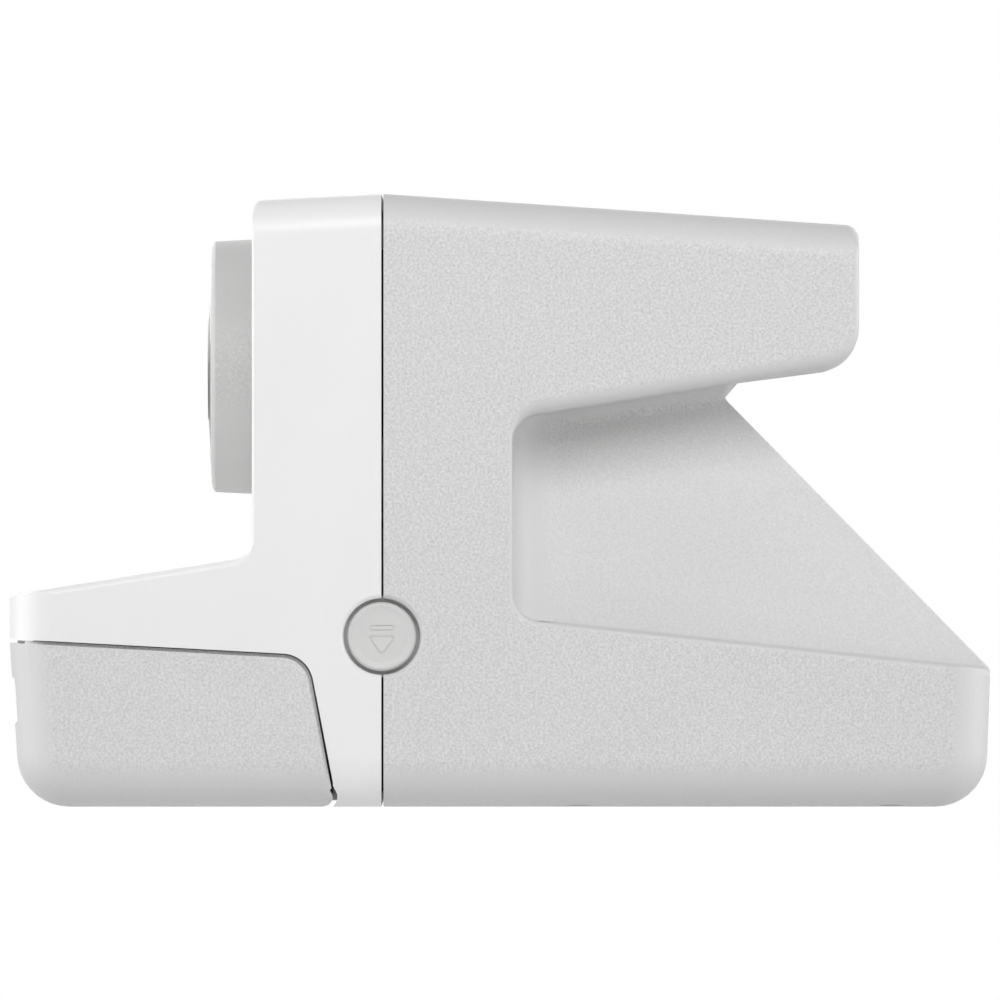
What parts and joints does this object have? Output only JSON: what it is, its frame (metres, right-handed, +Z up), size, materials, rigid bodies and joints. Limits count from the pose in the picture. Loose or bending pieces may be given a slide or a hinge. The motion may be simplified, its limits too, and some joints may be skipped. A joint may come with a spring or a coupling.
{
  "type": "instant camera",
  "caption": "Box-shaped instant camera with a lens ring, a sloping back with hand recesses, and a hinged film door holding two film rollers.",
  "frame": {"origin": "centre of the footprint, on the surface the camera stands on", "axes": "+Z up, -Y the way the lens looks, +X towards the side with the round door release"},
  "size_m": [0.1122, 0.1502, 0.0939],
  "materials": {
    "white_shell": "smooth satin white",
    "grey_shell": "fine blasted light grey",
    "trim_grey": "satin light grey",
    "button_red": "satin red",
    "black_plastic": "matt black",
    "steel": "fine brushed",
    "dark_window": "polished dark",
    "clear_window": "clear",
    "mirror": "silvered",
    "circuit": "green solder mask",
    "battery_wrap": "shrink wrap"
  },
  "bodies": {
    "case": {"base_screw_front_left": "steel", "base_screw_front_right": "steel", "base_screw_rear_left": "steel", "base_screw_rear_right": "steel", "battery": "battery_wrap", "charging_socket": "steel", "controller_chip": "black_plastic", "counter_window": "dark_window", "dark_chamber": "black_plastic", "door_hinge_pin": "steel", "drive_motor": "steel", "eyepiece_lens": "dark_window", "film_chamber": "black_plastic", "flash_capacitor": "black_plastic", "flash_reflector": "mirror", "flash_tube": "clear_window", "flash_window": "clear_window", "front_button_board": "circuit", "front_cover": "white_shell", "front_lens": "dark_window", "idler_axle": "steel", "lens_barrel": "black_plastic", "lens_bezel": "black_plastic", "lens_cell": "black_plastic", "lens_ring": "trim_grey", "main_board": "circuit", "mirror": "mirror", "rear_button_board": "circuit", "rear_cover": "grey_shell", "rear_lens": "clear_window", "sensor_window": "dark_window", "shutter_button_board": "circuit", "shutter_plate": "steel", "shutter_rear_plate": "steel", "shutter_solenoid": "steel", "status_light": "clear_window", "viewfinder_tube": "black_plastic", "viewfinder_window": "dark_window"},
    "door": {"film_door": "grey_shell", "roller_frame": "steel"},
    "upper_roller": {"upper_roller": "steel", "roller_gear": "black_plastic"},
    "lower_roller": {"lower_roller": "steel"},
    "idler": {"idler_gear": "black_plastic"},
    "pinion": {"motor_pinion": "black_plastic"},
    "release": {"door_release_button": "trim_grey", "door_latch": "steel"},
    "shutter_key": {"shutter_button": "button_red"},
    "timer_key": {"timer_button": "trim_grey"},
    "power_key": {"power_button": "trim_grey"},
    "flash_key": {"flash_button": "trim_grey"},
    "blade_left": {"shutter_blade_left": "black_plastic"},
    "blade_right": {"shutter_blade_right": "black_plastic"},
    "picker": {"pick_arm": "steel"}
  },
  "joints": [
    {"name": "door_hinge", "type": "hinge", "parent": "case", "child": "door", "pos_m": [0, -0.027, 0.00145], "axis": [1, 0, 0], "range_deg": [0, 80]},
    {"name": "upper_roller_spin", "type": "hinge", "parent": "door", "child": "upper_roller", "pos_m": [0, -0.058, 0.027], "axis": [1, 0, 0], "continuous": true},
    {"name": "lower_roller_spin", "type": "hinge", "parent": "door", "child": "lower_roller", "pos_m": [0, -0.058, 0.0193], "axis": [1, 0, 0], "continuous": true},
    {"name": "idler_spin", "type": "hinge", "parent": "case", "child": "idler", "pos_m": [0, -0.05085, 0.02891], "axis": [1, 0, 0], "continuous": true},
    {"name": "pinion_spin", "type": "hinge", "parent": "case", "child": "pinion", "pos_m": [0, -0.04552, 0.02976], "axis": [1, 0, 0], "continuous": true},
    {"name": "release_press", "type": "slide", "parent": "case", "child": "release", "axis": [-1, 0, 0], "range_m": [0, 0.0015], "stiffness_N_per_m": 600},
    {"name": "shutter_press", "type": "slide", "parent": "case", "child": "shutter_key", "axis": [0, 1, 0], "range_m": [0, 0.001], "stiffness_N_per_m": 400},
    {"name": "timer_press", "type": "slide", "parent": "case", "child": "timer_key", "axis": [0, 1, 0], "range_m": [0, 0.0006], "stiffness_N_per_m": 400},
    {"name": "power_press", "type": "slide", "parent": "case", "child": "power_key", "axis": [0, -1, 0], "range_m": [0, 0.0006], "stiffness_N_per_m": 400},
    {"name": "flash_press", "type": "slide", "parent": "case", "child": "flash_key", "axis": [0, -1, 0], "range_m": [0, 0.0006], "stiffness_N_per_m": 400},
    {"name": "blade_left_swing", "type": "hinge", "parent": "case", "child": "blade_left", "pos_m": [-0.011, -0.0315, 0.056], "axis": [0, -1, 0], "range_deg": [0, 35], "stiffness_Nm_per_rad": 0.002},
    {"name": "blade_right_swing", "type": "hinge", "parent": "case", "child": "blade_right", "pos_m": [0.011, -0.0307, 0.056], "axis": [0, 1, 0], "range_deg": [0, 35], "stiffness_Nm_per_rad": 0.002},
    {"name": "picker_slide", "type": "slide", "parent": "case", "child": "picker", "axis": [0, -1, 0], "range_m": [0, 0.005], "stiffness_N_per_m": 100}
  ],
  "couplings": [
    {"joint": "lower_roller_spin", "follows": "upper_roller_spin", "ratio": -0.8},
    {"joint": "idler_spin", "follows": "upper_roller_spin", "ratio": -1.1765},
    {"joint": "pinion_spin", "follows": "upper_roller_spin", "ratio": 2},
    {"joint": "blade_right_swing", "follows": "blade_left_swing", "ratio": 1}
  ]
}
